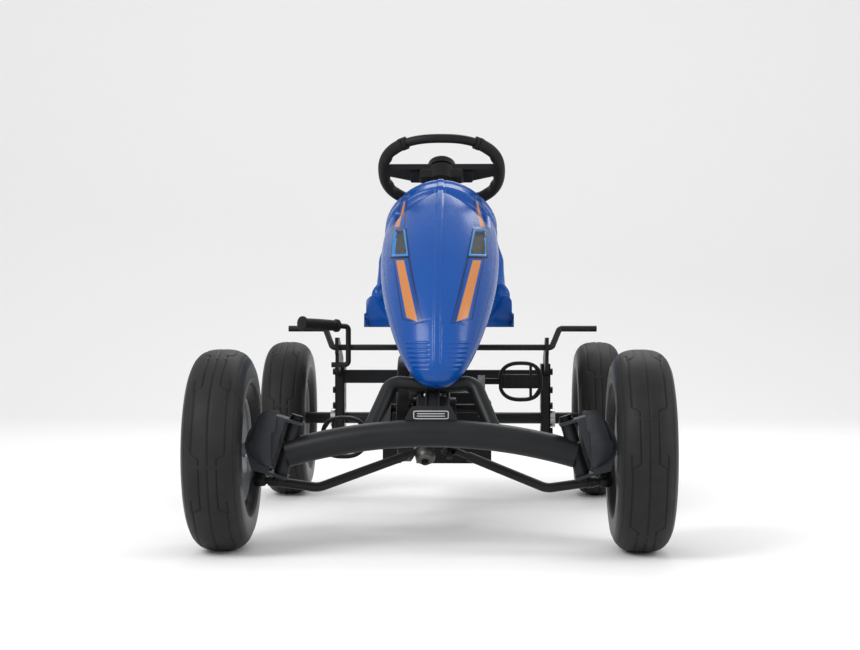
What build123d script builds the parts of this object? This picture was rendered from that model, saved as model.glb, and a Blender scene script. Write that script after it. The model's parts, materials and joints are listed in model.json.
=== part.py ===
"""Child's pedal go-kart with a swinging front beam, chain drive and tyre brake.

The front of the kart faces -Y, up is +Z and the driver's left is +X.  The origin lies on the ground
under the middle of the wheelbase.  Lengths are millimetres.
"""
from build123d import *
from math import acos, atan2, cos, hypot, pi, radians, sin
import os

os.makedirs("parts", exist_ok=True)

# ---------------------------------------------------------------- driving dimensions
wheelbase = 920.0
tyre_radius = 175.0
tyre_width = 100.0
bead_radius = 90.0
front_half_track = 362.0
rear_half_track = 354.0
front_y = -wheelbase / 2
rear_y = wheelbase / 2
axle_z = tyre_radius
running_gap = 0.05

beam_radius = 24.0
beam_reach = 251.0
beam_mid_z = 204.0
beam_end_z = 168.5
stud_radius = 6.0

kingpin_mid = (249.5, 177.0)
kingpin_lean = 16.4
kingpin_radius = 7.0
ear_reach = 46.0

hoop_radius = 14.0
hoop_foot = (44.0, 210.0)
hoop_base = (116.0, 42.0, 191.0)
hoop_bend = 22.0
spine_half = 24.0
spine_low = 206.0
spine_high = 256.0

column_x = 8.0
column_tilt = 36.0
column_radius = 10.0
wheel_centre = (column_x, front_y + 452.0, 700.0)
column_length = 608.0
drop_arm_reach = 50.0
drop_pin_spacing = 22.0
pin_radius = 4.0
eye_bore = 12.0

crank_y = front_y + 240.0
crank_z = 234.0
crank_throw = 102.0
crank_angle = 28.0
chain_x = -57.0
chainring_radius = 72.0
sprocket_radius = 34.0
pedal_width = 87.0
pedal_height = 80.0
pedal_inner = 120.0

post_x = 236.0
cross_bar_y = front_y + 905.0
rear_shaft_radius = 8.5
carrier_hole_x = 160.0
carrier_hole_radius = 4.25
brake_y = front_y + 830.0
brake_z = 339.0
brake_bar_radius = 6.75
rail_low = 330.0
rail_high = 360.0


# ---------------------------------------------------------------- helpers
def save(part, label):
    """Name one finished piece and write it as its own STEP file."""
    part.label = label
    export_step(part, "parts/" + label + ".step")


def tube(points, radius, bend, wall=0.0, closed=False):
    """A round bar, or a tube if it has a wall, along straight runs joined by tangent arcs."""
    with BuildPart() as bar:
        with BuildLine() as route:
            FilletPolyline(*points, radius=bend, close=closed)
        with BuildSketch(Plane(origin=route.line @ 0, z_dir=route.line % 0)):
            Circle(radius)
            if wall > 0:
                Circle(radius - wall, mode=Mode.SUBTRACT)
        sweep(path=route.line)
    return bar.part


def rod(start, end, radius, bore=0.0):
    """A straight round bar between two points, hollow if it has a bore."""
    run = Vector(*end) - Vector(*start)
    with BuildPart() as bar:
        with BuildSketch(Plane(origin=start, z_dir=run)):
            Circle(radius)
            if bore > 0:
                Circle(bore, mode=Mode.SUBTRACT)
        extrude(amount=run.length)
    return bar.part


def side_plate(outline, x_low, x_high):
    """A plate between two X values from an outline of (Y, Z) points."""
    with BuildPart() as plate:
        with BuildSketch(Plane.YZ.offset(x_low)):
            with BuildLine():
                Polyline(*outline, close=True)
            make_face()
        extrude(amount=x_high - x_low)
    return plate.part


def block(low, high):
    """A box between two opposite corners."""
    size = [high[i] - low[i] for i in range(3)]
    middle = [(high[i] + low[i]) / 2 for i in range(3)]
    with BuildPart() as box:
        with Locations(tuple(middle)):
            Box(*size)
    return box.part


def spun(profile, centre):
    """Revolve an outline of (along, radius) points about the X axis line through a centre."""
    with BuildPart() as turned:
        with BuildSketch(Plane(origin=centre, x_dir=(1, 0, 0), z_dir=(0, -1, 0))):
            with BuildLine():
                Polyline(*profile, close=True)
            make_face()
        revolve(axis=Axis(centre, (1, 0, 0)))
    return turned.part


def belt_edges(front, front_radius, rear, rear_radius):
    """Edges of an outline round two pulleys: two tangent lines and the two outer arcs."""
    span = hypot(rear[0] - front[0], rear[1] - front[1])
    heading = atan2(rear[1] - front[1], rear[0] - front[0])
    lean = acos((front_radius - rear_radius) / span)
    rims = []
    for centre, radius in ((front, front_radius), (rear, rear_radius)):
        pair = []
        for turn in (lean, -lean):
            spot = (centre[0] + radius * cos(heading + turn), centre[1] + radius * sin(heading + turn))
            pair.append(spot)
        rims.append(pair)
    nose = (front[0] - front_radius * cos(heading), front[1] - front_radius * sin(heading))
    tail = (rear[0] + rear_radius * cos(heading), rear[1] + rear_radius * sin(heading))
    with BuildLine() as outline:
        Line(rims[0][0], rims[1][0])
        ThreePointArc(rims[1][0], tail, rims[1][1])
        Line(rims[1][1], rims[0][1])
        ThreePointArc(rims[0][1], nose, rims[0][0])
    return outline.edges()


def both_sides(part):
    """The part and its mirror image in the YZ plane, as one group of separate solids."""
    return Compound(children=[part, part.mirror(Plane.YZ)])


# ---------------------------------------------------------------- front beam
beam_rise = beam_mid_z - beam_end_z
with BuildPart() as front_beam:
    with BuildLine() as beam_line:
        ThreePointArc(
            (-beam_reach, front_y, beam_end_z), (0, front_y, beam_mid_z), (beam_reach, front_y, beam_end_z)
        )
    with BuildSketch(Plane(origin=beam_line.line @ 0, z_dir=beam_line.line % 0)):
        Circle(beam_radius)
        Circle(beam_radius - 2.5, mode=Mode.SUBTRACT)
    sweep(path=beam_line.line)


def kingpin_plane(side):
    """Plane at the middle of a kingpin: local z up the leaning pin, local x away from the kart."""
    lean = radians(kingpin_lean)
    return Plane(
        origin=(side * kingpin_mid[0], front_y, kingpin_mid[1]),
        x_dir=(side * cos(lean), 0, sin(lean)),
        z_dir=(-side * sin(lean), 0, cos(lean)),
    )


def kingpin_tube(side, bore):
    """Sleeve at the end of the beam that a kingpin turns in."""
    with BuildPart() as sleeve:
        with BuildSketch(kingpin_plane(side).offset(-(ear_reach - 1))):
            Circle(12.5)
            if bore:
                Circle(kingpin_radius + running_gap, mode=Mode.SUBTRACT)
        extrude(amount=2 * (ear_reach - 1))
    return sleeve.part


stud = rod((0, front_y + 17, beam_mid_z), (0, front_y + 65, beam_mid_z), stud_radius)
with BuildPart() as beam_part:
    add(front_beam.part)
    for side in (-1, 1):
        add(kingpin_tube(side, False), mode=Mode.SUBTRACT)
    add(stud, mode=Mode.SUBTRACT)
save(beam_part.part, "front_beam")
save(Compound(children=[kingpin_tube(-1, True), kingpin_tube(1, True)]), "kingpin_tubes")

with BuildPart() as pivot_stud:
    add(stud)
    with BuildSketch(Plane(origin=(0, front_y + 58, beam_mid_z), z_dir=(0, 1, 0))):
        RegularPolygon(10, 6)
    extrude(amount=5)
save(pivot_stud.part, "pivot_stud")

with BuildPart() as badge_plate:
    with BuildSketch(Plane(origin=(0, front_y + 4, 0), x_dir=(1, 0, 0), z_dir=(0, -1, 0))):
        with BuildLine():
            Polyline((-50, 220), (-35, 251), (35, 251), (50, 220), close=True)
        make_face()
        fillet(vertices().group_by(Axis.Y)[-1], 8)
    extrude(amount=8)
    add(front_beam.part, mode=Mode.SUBTRACT)
    with Locations((0, front_y, 205)):
        Box(120, 40, 28, mode=Mode.SUBTRACT)
save(badge_plate.part.solids().sort_by(SortBy.VOLUME)[-1], "badge_plate")

# ---------------------------------------------------------------- front hoop, channel and pivot
hoop_up = (0, sin(radians(column_tilt)), cos(radians(column_tilt)))
hoop_plane = Plane(
    origin=(0, front_y + hoop_foot[0], hoop_foot[1]), x_dir=(1, 0, 0), z_dir=Vector(1, 0, 0).cross(Vector(*hoop_up))
)
hoop_top = [hoop_plane.from_local_coords(Vector(x, y, 0)) for x, y in ((74, 96), (0, 88), (-74, 96))]
base_x, base_y, base_z = hoop_base
hoop_corners = [(base_x, front_y + base_y, base_z), *hoop_top, (-base_x, front_y + base_y, base_z)]
hoop_tube = tube(hoop_corners, hoop_radius, hoop_bend, closed=True)
with BuildPart() as front_hoop:
    add(hoop_tube)
    add(rod((0, front_y + 27, beam_mid_z), (0, front_y + 57, beam_mid_z), 15))
    add(rod((0, front_y + 20, beam_mid_z), (0, front_y + 62, beam_mid_z), 9), mode=Mode.SUBTRACT)
save(front_hoop.part, "front_hoop")
bush_bore = stud_radius + running_gap
save(rod((0, front_y + 27, beam_mid_z), (0, front_y + 57, beam_mid_z), 9, bush_bore), "pivot_bush")

cheek_outline = [(66, 217), (104, 284), (160, 262), (212, 256), (212, 217)]
cheek = side_plate([(front_y + y, z) for y, z in cheek_outline], spine_half, spine_half + 5)
with BuildPart() as column_channel:
    add(cheek)
    add(cheek.mirror(Plane.YZ))
    with BuildSketch(hoop_plane.offset(-4)):
        with Locations((0, 46)):
            Rectangle(26, 66)
    extrude(amount=4)
    for edge in (-11.5, 11.5):
        with BuildSketch(hoop_plane.offset(-4)):
            with Locations((edge, 46)):
                Rectangle(3, 66)
        extrude(amount=-12)
        with BuildSketch(hoop_plane.offset(-4)):
            with Locations((edge, 46)):
                Rectangle(3, 66)
        extrude(amount=12)
    with BuildSketch(hoop_plane.offset(-14)):
        with Locations((0, 60)):
            Rectangle(2 * spine_half, 26)
    extrude(amount=4)
    add(hoop_tube, mode=Mode.SUBTRACT)
    add(rod((0, front_y + 20, beam_mid_z), (0, front_y + 70, beam_mid_z), 15), mode=Mode.SUBTRACT)
save(column_channel.part, "column_channel")

# ---------------------------------------------------------------- spine, crank housing, cross bar
with BuildPart() as spine_tube:
    spine_front = front_y + 154
    spine_rear = cross_bar_y + 12
    add(block((-spine_half, spine_front, spine_low), (spine_half, spine_rear, spine_high)))
    fillet(edges().filter_by(Axis.Y), 6)
    with BuildSketch(Plane.XZ.offset(-spine_front)):
        with Locations((0, (spine_low + spine_high) / 2)):
            Rectangle(2 * spine_half - 6, spine_high - spine_low - 6)
    extrude(amount=-(spine_rear - spine_front), mode=Mode.SUBTRACT)
    add(rod((-60, crank_y, crank_z), (60, crank_y, crank_z), 21), mode=Mode.SUBTRACT)
save(spine_tube.part, "spine_tube")
housing_reach = 40.0
save(rod((-housing_reach, crank_y, crank_z), (housing_reach, crank_y, crank_z), 21, 17.5), "crank_housing")
axle_radius = 8.5
bearing_a = rod((28, crank_y, crank_z), (40, crank_y, crank_z), 17.5, axle_radius + running_gap)
save(both_sides(bearing_a), "crank_bearings")

with BuildPart() as rear_cross_bar:
    add(block((-225, cross_bar_y - 10, spine_high), (225, cross_bar_y + 10, spine_high + 30)))
    for side in (-1, 1):
        start = (side * carrier_hole_x, cross_bar_y, spine_high - 10)
        end = (side * carrier_hole_x, cross_bar_y, spine_high + 40)
        add(rod(start, end, carrier_hole_radius), mode=Mode.SUBTRACT)
save(rear_cross_bar.part, "rear_cross_bar")

# ---------------------------------------------------------------- rear posts and rear axle supports
post_front = front_y + 890
post_rear = front_y + 950
post_top = 300.0
plate_outline = [
    (824.5, 288), (824.5, 322), (815, 326), (815, 361), (850, 361),
    (950, 312), (950, 300), (890, 300), (890, 272),
]
for side, label in ((1, "rear_post_left"), (-1, "rear_post_right")):
    with BuildPart() as rear_post:
        add(block((post_x - 11, post_front, 130), (post_x + 11, post_rear, post_top)))
        fillet(edges().filter_by(Axis.Z), 5)
        add(side_plate([(front_y + y, z) for y, z in plate_outline], post_x - 4, post_x + 4))
        add(rod((200, rear_y, axle_z), (270, rear_y, axle_z), 21), mode=Mode.SUBTRACT)
        brake_hole = brake_bar_radius + running_gap
        add(rod((200, brake_y, brake_z), (270, brake_y, brake_z), brake_hole), mode=Mode.SUBTRACT)
        for height in (146, 204, 240, 282):
            hole = rod((200, rear_y - 15, height), (270, rear_y - 15, height), 4.2)
            add(hole, mode=Mode.SUBTRACT)
    shape = rear_post.part if side > 0 else rear_post.part.mirror(Plane.YZ)
    save(shape, label)

shaft_bore = rear_shaft_radius + running_gap
axle_bearing = rod((post_x - 11, rear_y, axle_z), (post_x + 22, rear_y, axle_z), 21, shaft_bore)
save(both_sides(axle_bearing), "axle_bearings")
sleeves = []
for start_x, end_x in ((-28, post_x - 11), (-(post_x - 11), -88), (post_x + 22, 320), (-320, -(post_x + 22))):
    sleeves.append(rod((start_x, rear_y, axle_z), (end_x, rear_y, axle_z), 13, 10.5))
save(Compound(children=sleeves), "axle_housing")

bolts = []
for side in (-1, 1):
    for height in (146, 204, 240, 282):
        with BuildPart() as bolt:
            bolt_seat = side * (post_x + 11)
            with BuildSketch(Plane(origin=(bolt_seat, rear_y - 15, height), z_dir=(side, 0, 0))):
                RegularPolygon(7.5, 6)
            extrude(amount=5.5)
            with BuildSketch(Plane(origin=(bolt_seat, rear_y - 15, height), z_dir=(-side, 0, 0))):
                Circle(4)
            extrude(amount=21)
        bolts.append(bolt.part)
save(Compound(children=bolts), "post_bolts")

# ---------------------------------------------------------------- steering column and wheel
column_up = Vector(*hoop_up)
column_back = Vector(0, cos(radians(column_tilt)), -sin(radians(column_tilt)))
across = Vector(1, 0, 0)
wheel_at = Vector(*wheel_centre)


def on_column(drop, back=0.0, side=0.0):
    """Point a distance down the column from the wheel's middle, set back from it and to one side."""
    return wheel_at - column_up * drop + column_back * back + across * side


def column_plane(drop):
    """Plane square to the column: local x to the driver's left, local y back towards the driver."""
    return Plane(origin=on_column(drop), x_dir=(1, 0, 0), z_dir=column_up)


save(rod(on_column(column_length + 4), on_column(-4), column_radius), "steering_column")

bush_drops = (562.0, 124.0)
bushes = []
for drop in bush_drops:
    low = on_column(drop + 11)
    high = on_column(drop - 11)
    bushes.append(rod(low, high, 14, column_radius + running_gap))
save(Compound(children=bushes), "column_bushes")

with BuildPart() as drop_arm:
    with BuildSketch(column_plane(column_length + 2)):
        with BuildLine():
            Polyline((-13, -13), (13, -13), (31, 46), (27, 60), (-27, 60), (-31, 46), close=True)
        make_face()
        fillet(vertices(), 7)
        Circle(column_radius, mode=Mode.SUBTRACT)
    extrude(amount=5)
    for side in (-1, 1):
        with BuildSketch(column_plane(column_length + 2)):
            with Locations((side * drop_pin_spacing, drop_arm_reach)):
                Circle(pin_radius)
        extrude(amount=-26)
        with BuildSketch(column_plane(column_length + 28)):
            with Locations((side * drop_pin_spacing, drop_arm_reach)):
                RegularPolygon(6.5, 6)
        extrude(amount=-6)
save(drop_arm.part, "drop_arm")

rim_half_width = 116.0
rim_half_depth = 99.0
rim_squareness = 2.4


def rim_spot(turn):
    """Point of the wheel's flattened, squarish rim line at an angle round it."""
    span = (abs(cos(turn)) ** rim_squareness + abs(sin(turn)) ** rim_squareness) ** (-1 / rim_squareness)
    return (rim_half_width * span * cos(turn), rim_half_depth * span * sin(turn))


rim_points = [rim_spot(2 * pi * step / 32) for step in range(32)]
hub_radius = 29.0
hub_depth = 34.0
spoke_outline = [(0, -18), (112, -18), (112, 2), (30, 28), (0, 28)]
wheel_plane = column_plane(0)
with BuildPart() as steering_wheel:
    with BuildLine(wheel_plane) as rim_line:
        Spline(*rim_points, periodic=True)
    with BuildSketch(Plane(origin=rim_line.line @ 0, z_dir=rim_line.line % 0)):
        Circle(9)
    sweep(path=rim_line.line)
    with BuildSketch(wheel_plane.offset(-hub_depth)):
        Circle(hub_radius)
        Circle(column_radius, mode=Mode.SUBTRACT)
    extrude(amount=hub_depth)
    with BuildSketch(wheel_plane.offset(-9)):
        for side in (-1, 1):
            with BuildLine():
                Polyline(*[(side * x, y) for x, y in spoke_outline], close=True)
            make_face()
        Circle(column_radius, mode=Mode.SUBTRACT)
    extrude(amount=14)
save(steering_wheel.part, "steering_wheel")

grips = []
for side in (-1, 1):
    with BuildPart() as grip:
        with BuildLine(wheel_plane) as grip_line:
            grip_points = []
            for step in range(9):
                turn = radians(-52 + 104 * step / 8)
                if side < 0:
                    turn = pi - turn
                grip_points.append(rim_spot(turn))
            Spline(*grip_points)
        with BuildSketch(Plane(origin=grip_line.line @ 0, z_dir=grip_line.line % 0)):
            Circle(12)
        sweep(path=grip_line.line)
        add(steering_wheel.part, mode=Mode.SUBTRACT)
    grips.append(grip.part)
save(Compound(children=grips), "wheel_grips")

with BuildPart() as hub_cover:
    with BuildSketch(wheel_plane.offset(5)):
        Circle(28)
    extrude(amount=16)
    fillet(edges().filter_by(GeomType.CIRCLE).sort_by(Axis.Z)[-1], 5)
save(hub_cover.part, "hub_cover")

strut_foot = (column_x, front_y + 320, spine_high)
strut_head = on_column(bush_drops[1], 14)
with BuildPart() as column_strut:
    add(rod(strut_foot, strut_head, 12.5))
    low = on_column(bush_drops[1] + 11)
    high = on_column(bush_drops[1] - 11)
    add(rod(low, high, 18))
    low = on_column(bush_drops[1] + 40)
    high = on_column(bush_drops[1] - 40)
    add(rod(low, high, 14), mode=Mode.SUBTRACT)
    add(block((-30, front_y + 250, spine_low), (40, front_y + 400, spine_high)), mode=Mode.SUBTRACT)
save(column_strut.part.solids().sort_by(SortBy.VOLUME)[-1], "column_strut")

# ---------------------------------------------------------------- knuckles and tie rods
ball_joint = Vector(307, front_y + 60, 117)


def knuckle():
    """Folded bracket round a kingpin with its steering arm and ball stud."""
    frame_plane = kingpin_plane(1)
    upright = Plane(origin=frame_plane.origin, x_dir=frame_plane.x_dir, z_dir=(0, -1, 0))
    rim_side = [(55, 51), (66, 30), (72, 10), (72, -12), (48, -51)]
    outer = [(-14, 51), *rim_side, (-14, -51)]
    inner = [(-15, 46), (52, 46), (61, 28), (67, 9), (67, -11), (45, -46), (-15, -46)]
    front = [(16, 50), *rim_side, (19, -50)]
    with BuildPart() as bracket:
        with BuildSketch(upright.offset(-24)):
            with BuildLine():
                Polyline(*outer, close=True)
            make_face()
            with BuildLine():
                Polyline(*inner, close=True)
            make_face(mode=Mode.SUBTRACT)
        extrude(amount=48)
        with BuildSketch(upright.offset(24)):
            with BuildLine():
                Polyline(*front, close=True)
            make_face()
        extrude(amount=4)
        with BuildSketch(Plane.XY.offset(136)):
            with Locations((292, front_y + 8)):
                Circle(14)
            with Locations((ball_joint.X, ball_joint.Y)):
                Circle(12)
            make_hull()
        extrude(amount=8)
        stud_low = ball_joint
        add(rod(stud_low, (ball_joint.X, ball_joint.Y, 137), 4))
        with Locations(stud_low):
            Sphere(6.8)
        with BuildSketch(frame_plane.offset(-60)):
            Circle(kingpin_radius)
        extrude(amount=120, mode=Mode.SUBTRACT)
        add(rod((295, front_y, axle_z), (340, front_y, axle_z), 8.45), mode=Mode.SUBTRACT)
    return bracket.part


def kingpin():
    """Pin with a ribbed cap at its top and a nut below the lower ear."""
    with BuildPart() as pin:
        with BuildSketch(kingpin_plane(1).offset(-58)):
            Circle(kingpin_radius)
        extrude(amount=109)
        for step in range(3):
            with BuildSketch(kingpin_plane(1).offset(51 + 3.2 * step)):
                Circle(13 - 1.2 * step)
            extrude(amount=2.2)
            with BuildSketch(kingpin_plane(1).offset(53.2 + 3.2 * step)):
                Circle(10.5)
            extrude(amount=1)
        with BuildSketch(kingpin_plane(1).offset(-57)):
            RegularPolygon(11, 6)
        extrude(amount=6)
    return pin.part


def stub_axle():
    """Fixed spindle that a front wheel's bearings run on."""
    with BuildPart() as stub:
        add(rod((312, front_y, axle_z), (front_half_track + 32, front_y, axle_z), 8.45))
        add(rod((323, front_y, axle_z), (front_half_track - 33, front_y, axle_z), 13))
        with BuildSketch(Plane(origin=(front_half_track + 33, front_y, axle_z), z_dir=(1, 0, 0))):
            RegularPolygon(12, 6)
        extrude(amount=8)
        add(rod((front_half_track + 31, front_y, axle_z), (front_half_track + 34, front_y, axle_z), 8))
    return stub.part


def tie_rod(side):
    """Bent rod from the knuckle's ball joint to a bushed eye below the drop arm."""
    eye = on_column(column_length + 14, drop_arm_reach, side * drop_pin_spacing)
    ball = Vector(side * ball_joint.X, ball_joint.Y, ball_joint.Z)
    neck = Vector(side * 284, front_y + 63, 114)
    low = Vector(side * 204, front_y + 76, 101)
    run_in = (eye - low).normalized()
    eye_edge = eye - run_in * 14
    bar_end = eye - run_in * 38
    with BuildPart() as bar:
        add(tube([neck, low, bar_end], 8.5, 40))
        add(rod(bar_end, eye_edge, 6))
        add(rod(ball, neck, 7))
        add(rod(neck, (neck + (ball - neck).normalized() * 8), 9.5))
        add(rod((ball.X, ball.Y, ball.Z - 10), (ball.X, ball.Y, ball.Z + 8), 11))
        with BuildSketch(Plane(origin=eye - column_up * 6, x_dir=(1, 0, 0), z_dir=column_up)):
            Circle(16)
        extrude(amount=12)
        with Locations(ball):
            Sphere(7.1, mode=Mode.SUBTRACT)
        add(rod(ball, (ball.X, ball.Y, ball.Z + 20), 6.8), mode=Mode.SUBTRACT)
        with BuildSketch(Plane(origin=eye - column_up * 12, x_dir=(1, 0, 0), z_dir=column_up)):
            Circle(eye_bore)
        extrude(amount=24, mode=Mode.SUBTRACT)
    return bar.part


for side, name in ((1, "left"), (-1, "right")):
    pieces = {"knuckle_bracket_": knuckle(), "kingpin_": kingpin(), "stub_axle_": stub_axle()}
    for label, piece in pieces.items():
        save(piece if side > 0 else piece.mirror(Plane.YZ), label + name)
    save(tie_rod(side), "tie_rod_" + name)

# ---------------------------------------------------------------- wheels
tyre_wall = 7.0


def tyre(centre):
    """Hollow tyre, open between its beads, revolved about the wheel's axis."""
    height = tyre_radius - bead_radius
    with BuildPart() as ring:
        with BuildSketch(Plane(origin=centre, x_dir=(1, 0, 0), z_dir=(0, -1, 0))):
            with Locations((0, bead_radius + height / 2)):
                RectangleRounded(tyre_width, height, 26)
            with Locations((0, bead_radius + height / 2 - tyre_wall)):
                RectangleRounded(tyre_width - 2 * tyre_wall, height, 20, mode=Mode.SUBTRACT)
        revolve(axis=Axis(centre, (1, 0, 0)))
    return ring.part


def rim(centre, hub_bore):
    """Dished wheel: barrel with two lips, web plate and hub."""
    profile = [
        (-32, hub_bore), (32, hub_bore), (32, 26), (4, 26), (2, 40), (-8, 76), (24, 80), (33, 86), (33, 90),
        (-33, 90), (-33, 86), (-24, 80), (-14, 80), (-14, 76), (-5, 40), (-4, 26), (-32, 26),
    ]
    return spun(profile, centre)


for side, name in ((1, "left"), (-1, "right")):
    front_centre = (side * front_half_track, front_y, axle_z)
    rear_centre = (side * rear_half_track, rear_y, axle_z)
    save(tyre(front_centre), "front_tyre_" + name)
    save(tyre(rear_centre), "rear_tyre_" + name)
    save(rim(front_centre, 17.5), "front_rim_" + name)
    rear_bore = rear_shaft_radius + running_gap if side > 0 else rear_shaft_radius
    save(rim(rear_centre, rear_bore), "rear_rim_" + name)
    rings = []
    for inner in (-31, 20):
        start = (front_centre[0] + inner, front_y, axle_z)
        end = (front_centre[0] + inner + 11, front_y, axle_z)
        rings.append(rod(start, end, 17.5, 8.45 + running_gap))
    save(Compound(children=rings), "front_bearings_" + name)

# ---------------------------------------------------------------- crank, pedals and chain drive
with BuildPart() as crank_axle:
    add(rod((-97, crank_y, crank_z), (97, crank_y, crank_z), axle_radius))
save(crank_axle.part, "crank_axle")


def pedal_at(side):
    """Middle of a pedal spindle's axis in the YZ plane, for one side."""
    turn = radians(crank_angle)
    return (crank_y + side * crank_throw * cos(turn), crank_z + side * crank_throw * sin(turn))


arms = []
spindles = []
for side in (1, -1):
    low_x = min(side * 81, side * 95)
    with BuildPart() as arm:
        with BuildSketch(Plane.YZ.offset(low_x)):
            with Locations((crank_y, crank_z)):
                Circle(16)
            with Locations(pedal_at(side)):
                Circle(12)
            make_hull()
            with Locations((crank_y, crank_z)):
                Circle(axle_radius, mode=Mode.SUBTRACT)
            with Locations(pedal_at(side)):
                Circle(6, mode=Mode.SUBTRACT)
        extrude(amount=14)
    arms.append(arm.part)
    y, z = pedal_at(side)
    spindles.append(rod((side * 81, y, z), (side * (pedal_inner + pedal_width - 8), y, z), 6))
save(Compound(children=arms), "crank_arms")
save(Compound(children=spindles), "pedal_spindles")

for side, name in ((1, "left"), (-1, "right")):
    y, z = pedal_at(side)
    middle_x = side * (pedal_inner + pedal_width / 2)
    with BuildPart() as pedal:
        with BuildSketch(Plane(origin=(middle_x, y + 12, z), x_dir=(1, 0, 0), z_dir=(0, -1, 0))):
            RectangleRounded(pedal_width, pedal_height, 24)
            for lift in (-1, 1):
                with Locations((0, lift * 22.5)):
                    RectangleRounded(pedal_width - 20, 17, 8, mode=Mode.SUBTRACT)
        extrude(amount=24)
        start = (middle_x - pedal_width, y, z)
        end = (middle_x + pedal_width, y, z)
        add(rod(start, end, 6 + running_gap), mode=Mode.SUBTRACT)
    save(pedal.part, "pedal_" + name)


def toothed(centre, radius, teeth, hub_radius, bore, windows):
    """Sprocket on the chain line: a toothed disc with a hub and a ring of round windows."""
    with BuildPart() as gear:
        with BuildSketch(Plane.YZ.offset(chain_x - 2)):
            with Locations(centre):
                Circle(radius)
                with PolarLocations(radius, teeth):
                    Circle(1.6, mode=Mode.SUBTRACT)
                if windows:
                    with PolarLocations(radius * 0.62, 5):
                        Circle(radius * 0.2, mode=Mode.SUBTRACT)
                Circle(bore, mode=Mode.SUBTRACT)
        extrude(amount=4)
        with BuildSketch(Plane.YZ.offset(chain_x - 6)):
            with Locations(centre):
                Circle(hub_radius)
                Circle(bore, mode=Mode.SUBTRACT)
        extrude(amount=14)
    return gear.part


save(toothed((crank_y, crank_z), chainring_radius, 36, 18, axle_radius, True), "chainring")
save(toothed((rear_y, axle_z), sprocket_radius, 17, 15, rear_shaft_radius, False), "rear_sprocket")
with BuildPart() as chain:
    with BuildSketch(Plane.YZ.offset(chain_x - 4)) as chain_loop:
        make_face(belt_edges((crank_y, crank_z), chainring_radius + 8, (rear_y, axle_z), sprocket_radius + 8))
    extrude(amount=8)
    with BuildSketch(Plane.YZ.offset(chain_x - 5)):
        make_face(belt_edges((crank_y, crank_z), chainring_radius + 1, (rear_y, axle_z), sprocket_radius + 1))
    extrude(amount=10, mode=Mode.SUBTRACT)
save(chain.part, "chain")

guard_wall = 2.5
guard_low = -68.0
guard_high = -45.0
with BuildPart() as chain_guard:
    with BuildSketch(Plane.YZ.offset(guard_low)):
        make_face(belt_edges((crank_y, crank_z), 100, (rear_y, axle_z), 62))
    extrude(amount=guard_high - guard_low)
    fillet(edges().group_by(Axis.X)[0], 4)
    with BuildSketch(Plane.YZ.offset(guard_low + guard_wall)):
        make_face(belt_edges((crank_y, crank_z), 100 - guard_wall, (rear_y, axle_z), 62 - guard_wall))
    extrude(amount=guard_high - guard_low - 2 * guard_wall, mode=Mode.SUBTRACT)
    add(rod((-80, crank_y, crank_z), (-30, crank_y, crank_z), 19), mode=Mode.SUBTRACT)
    add(rod((-80, rear_y, axle_z), (-30, rear_y, axle_z), 16), mode=Mode.SUBTRACT)
save(chain_guard.part, "chain_guard")

shaft_end = rear_half_track + 36
save(rod((-shaft_end, rear_y, axle_z), (shaft_end, rear_y, axle_z), rear_shaft_radius), "rear_shaft")

with BuildPart() as drive_cover:
    with BuildSketch(Plane.XZ.offset(-(front_y + 400))):
        with BuildLine():
            Polyline((-108, 116), (-108, 236), (-92, 256), (92, 256), (108, 236), (108, 116), close=True)
        make_face()
    extrude(amount=-60)
    with BuildSketch(Plane.XZ.offset(-(front_y + 403))):
        with BuildLine():
            Polyline((-105, 119), (-105, 235), (-90, 253), (90, 253), (105, 235), (105, 119), close=True)
        make_face()
    extrude(amount=-60, mode=Mode.SUBTRACT)
    add(block((-72, front_y + 390, 90), (-41, front_y + 480, 300)), mode=Mode.SUBTRACT)
    add(block((-26, front_y + 390, 204), (26, front_y + 480, 300)), mode=Mode.SUBTRACT)
save(drive_cover.part, "drive_cover")

# ---------------------------------------------------------------- seat rail, seat and clamp
with BuildPart() as seat_rail:
    add(block((-20, front_y + 520, rail_low), (20, front_y + 800, rail_high)))
    for y in (front_y + 530, front_y + 770):
        add(block((-15, y, spine_high), (15, y + 25, rail_low)))
save(seat_rail.part, "seat_rail")

slide_gap = 0.3
with BuildPart() as seat_carriage:
    add(block((-28, front_y + 600, rail_low - 8), (28, front_y + 740, rail_high + 10)))
    cut_low = (-20 - slide_gap, front_y + 590, rail_low - slide_gap)
    cut_high = (20 + slide_gap, front_y + 750, rail_high + slide_gap)
    add(block(cut_low, cut_high), mode=Mode.SUBTRACT)
    add(block((-16, front_y + 590, rail_low - 9), (16, front_y + 750, rail_low)), mode=Mode.SUBTRACT)
    add(block((-60, front_y + 610, rail_high + 10), (60, front_y + 730, rail_high + 14)))
    add(block((-60, front_y + 610, rail_high + 14), (-50, front_y + 730, 392)))
    add(block((50, front_y + 610, rail_high + 14), (60, front_y + 730, 392)))
    knob_hole = rod((20, front_y + 670, 345), (40, front_y + 670, 345), 5 + running_gap)
    add(knob_hole, mode=Mode.SUBTRACT)
save(seat_carriage.part, "seat_carriage")

with BuildPart() as seat_knob:
    add(rod((22, front_y + 670, 345), (32, front_y + 670, 345), 5))
    with BuildSketch(Plane.YZ.offset(30)):
        with Locations((front_y + 670, 345)):
            Circle(17)
            with PolarLocations(18, 8):
                Circle(3.5, mode=Mode.SUBTRACT)
    extrude(amount=18)
save(seat_knob.part, "seat_knob")

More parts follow.
